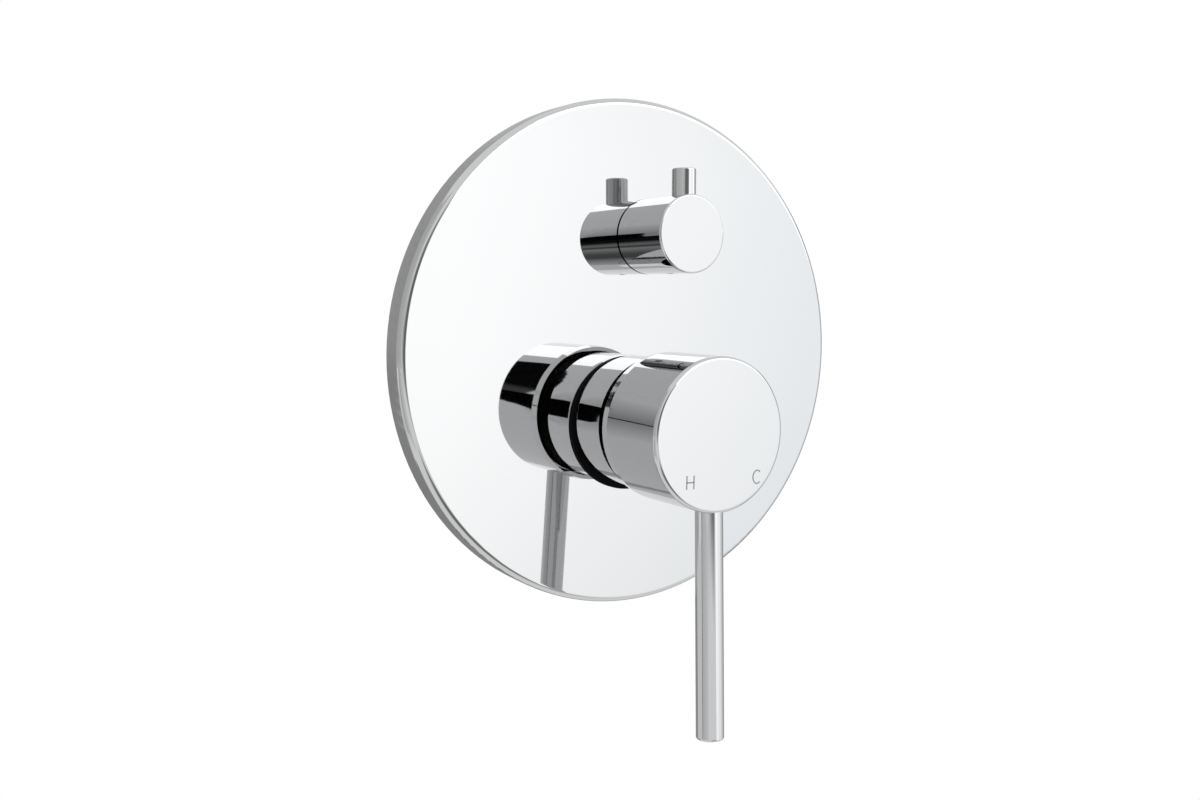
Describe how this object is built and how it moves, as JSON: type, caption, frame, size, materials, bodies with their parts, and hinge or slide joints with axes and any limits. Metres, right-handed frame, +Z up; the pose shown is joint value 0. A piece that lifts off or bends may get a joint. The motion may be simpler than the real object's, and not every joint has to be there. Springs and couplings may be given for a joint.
{
  "type": "shower diverter valve",
  "caption": "In-wall shower mixer with a round polished wall plate, lever handle for flow and temperature, diverter knob with pin, and a brass body with threaded ports.",
  "frame": {"origin": "centre of the round wall plate, on the plane of the finished wall", "axes": "+Y into the wall, +Z up, +X to the right of a person who faces the plate"},
  "size_m": [0.17, 0.1135, 0.2007],
  "materials": {
    "polished_chrome": "mirror polished chrome plate",
    "grey_foam": "closed cell foam",
    "black_rubber": "smooth moulded rubber",
    "cast_brass": "tumbled casting",
    "turned_brass": "fine turning marks",
    "machined_steel": "plain machined",
    "white_plastic": "moulded satin",
    "grey_plastic": "moulded satin",
    "white_ceramic": "lapped"
  },
  "bodies": {
    "root": {"face_plate": "polished_chrome", "plate_gasket": "grey_foam", "mixer_sleeve": "polished_chrome", "sleeve_seal": "black_rubber", "valve_body": "cast_brass", "cartridge_housing": "white_plastic", "cartridge_base": "white_plastic", "base_seals": "black_rubber", "fixed_disc": "white_ceramic", "cartridge_nut": "turned_brass", "diverter_housing": "turned_brass", "diverter_fixed_disc": "white_ceramic", "diverter_seals": "black_rubber", "bonnet_nut": "turned_brass", "diverter_collar": "turned_brass", "collar_seal": "black_rubber"},
    "carrier": {"carrier": "grey_plastic", "pivot_pin": "machined_steel"},
    "disc": {"moving_disc": "white_ceramic", "disc_slider": "grey_plastic"},
    "handle": {"lever_stem": "machined_steel", "handle_head": "polished_chrome", "handle_lever": "polished_chrome", "handle_set_screw": "machined_steel"},
    "diverter": {"diverter_knob": "polished_chrome", "knob_pin": "polished_chrome", "knob_set_screw": "machined_steel", "diverter_spindle": "turned_brass", "spindle_o_ring": "black_rubber", "diverter_moving_disc": "white_ceramic"}
  },
  "joints": [
    {"name": "temperature_turn", "type": "hinge", "parent": "root", "child": "carrier", "pos_m": [0, -0.019, -0.022], "axis": [0, -1, 0], "range_deg": [-55.5, 44.5]},
    {"name": "flow_lift", "type": "hinge", "parent": "carrier", "child": "handle", "pos_m": [0, -0.019, -0.022], "axis": [-0.9954, 0, -0.0958], "range_deg": [0, 25]},
    {"name": "disc_slide", "type": "slide", "parent": "carrier", "child": "disc", "axis": [0.0958, 0, -0.9954], "range_m": [0, 0.0054]},
    {"name": "diverter_turn", "type": "hinge", "parent": "root", "child": "diverter", "pos_m": [0, -0.0226, 0.04], "axis": [0, 1, 0], "range_deg": [0, 90]}
  ],
  "couplings": [
    {"joint": "disc_slide", "follows": "flow_lift", "m_per_rad": 0.012204}
  ]
}
